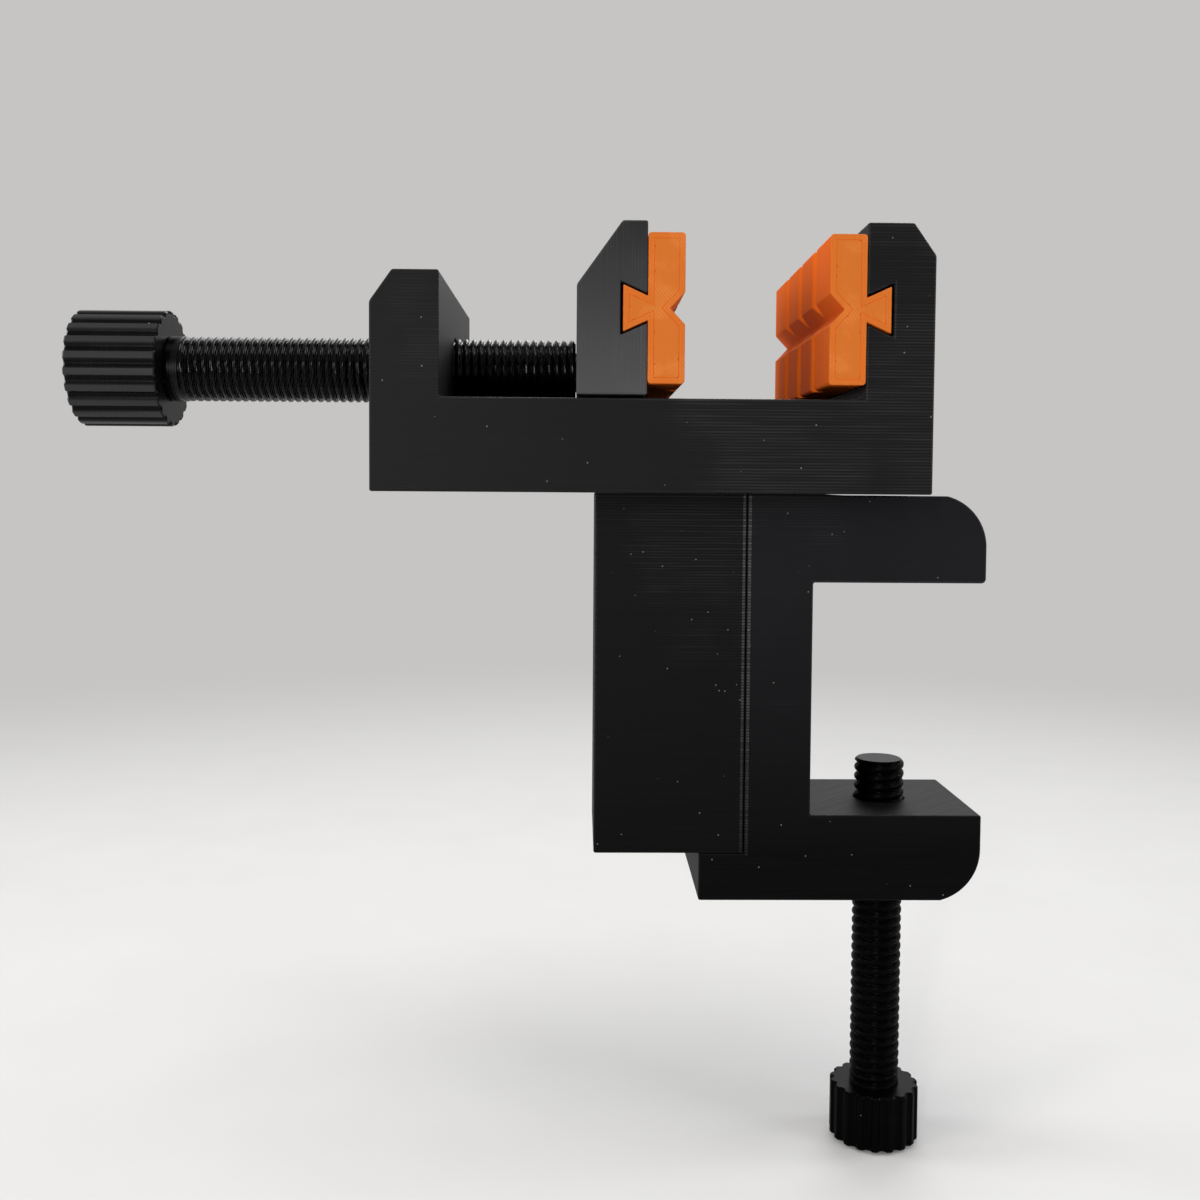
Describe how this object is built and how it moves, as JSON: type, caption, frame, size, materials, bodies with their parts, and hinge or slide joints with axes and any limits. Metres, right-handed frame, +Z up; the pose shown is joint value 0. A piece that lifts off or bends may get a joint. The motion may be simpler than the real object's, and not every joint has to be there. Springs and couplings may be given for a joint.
{
  "type": "clamp-on table vise",
  "caption": "Small printed table vise: a bed with sliding jaw and dovetailed orange inserts, on a post that drops over a C clamp with a screw for the table edge.",
  "frame": {"origin": "on the table top under the clamp's upper arm, on the clamp screw's axis and the middle plane", "axes": "+Z up, +X from the vise over the table, +Y along the jaws to the back"},
  "size_m": [0.1414, 0.05, 0.144],
  "materials": {
    "black_print": "satin black PLA with fine level print layers",
    "grey_print": "black PLA printed on its face, upright print layers, a little lighter",
    "black_thread": "satin black PLA, printed right-hand thread",
    "black_knob": "satin black PLA with scooped flutes",
    "orange_print": "matte orange PLA with print lines on its ends",
    "screw_steel": "plain steel"
  },
  "bodies": {
    "clamp": {"clamp_frame": "black_print"},
    "clamp_spindle": {"clamp_screw": "black_thread", "clamp_knob": "black_knob"},
    "vise": {"vise_body": "black_print", "mounting_post": "black_print", "post_screws": "screw_steel"},
    "jaw": {"moving_jaw": "grey_print"},
    "vise_spindle": {"vise_screw": "black_thread", "vise_knob": "black_knob"},
    "moving_insert": {"moving_jaw_insert": "orange_print"},
    "fixed_insert": {"fixed_jaw_insert": "orange_print"}
  },
  "joints": [
    {"name": "clamp_screw_travel", "type": "slide", "parent": "clamp", "child": "clamp_spindle", "axis": [0, 0, 1], "range_m": [-0.006, 0.0285]},
    {"name": "vise_lift", "type": "slide", "parent": "clamp", "child": "vise", "axis": [0, 0, 1], "range_m": [0, 0.056]},
    {"name": "jaw_travel", "type": "slide", "parent": "vise", "child": "jaw", "axis": [1, 0, 0], "range_m": [-0.0192, 0.0204]},
    {"name": "vise_screw_turn", "type": "hinge", "parent": "jaw", "child": "vise_spindle", "pos_m": [-0.079, 0, 0.03275], "axis": [1, 0, 0], "range_deg": [-5760, 6120]},
    {"name": "moving_insert_slide", "type": "slide", "parent": "jaw", "child": "moving_insert", "axis": [0, 1, 0], "range_m": [-0.05, 0.05]},
    {"name": "fixed_insert_slide", "type": "slide", "parent": "vise", "child": "fixed_insert", "axis": [0, 1, 0], "range_m": [-0.05, 0.05]}
  ],
  "couplings": [
    {"joint": "jaw_travel", "follows": "vise_screw_turn", "m_per_rad": 0.00019099}
  ]
}
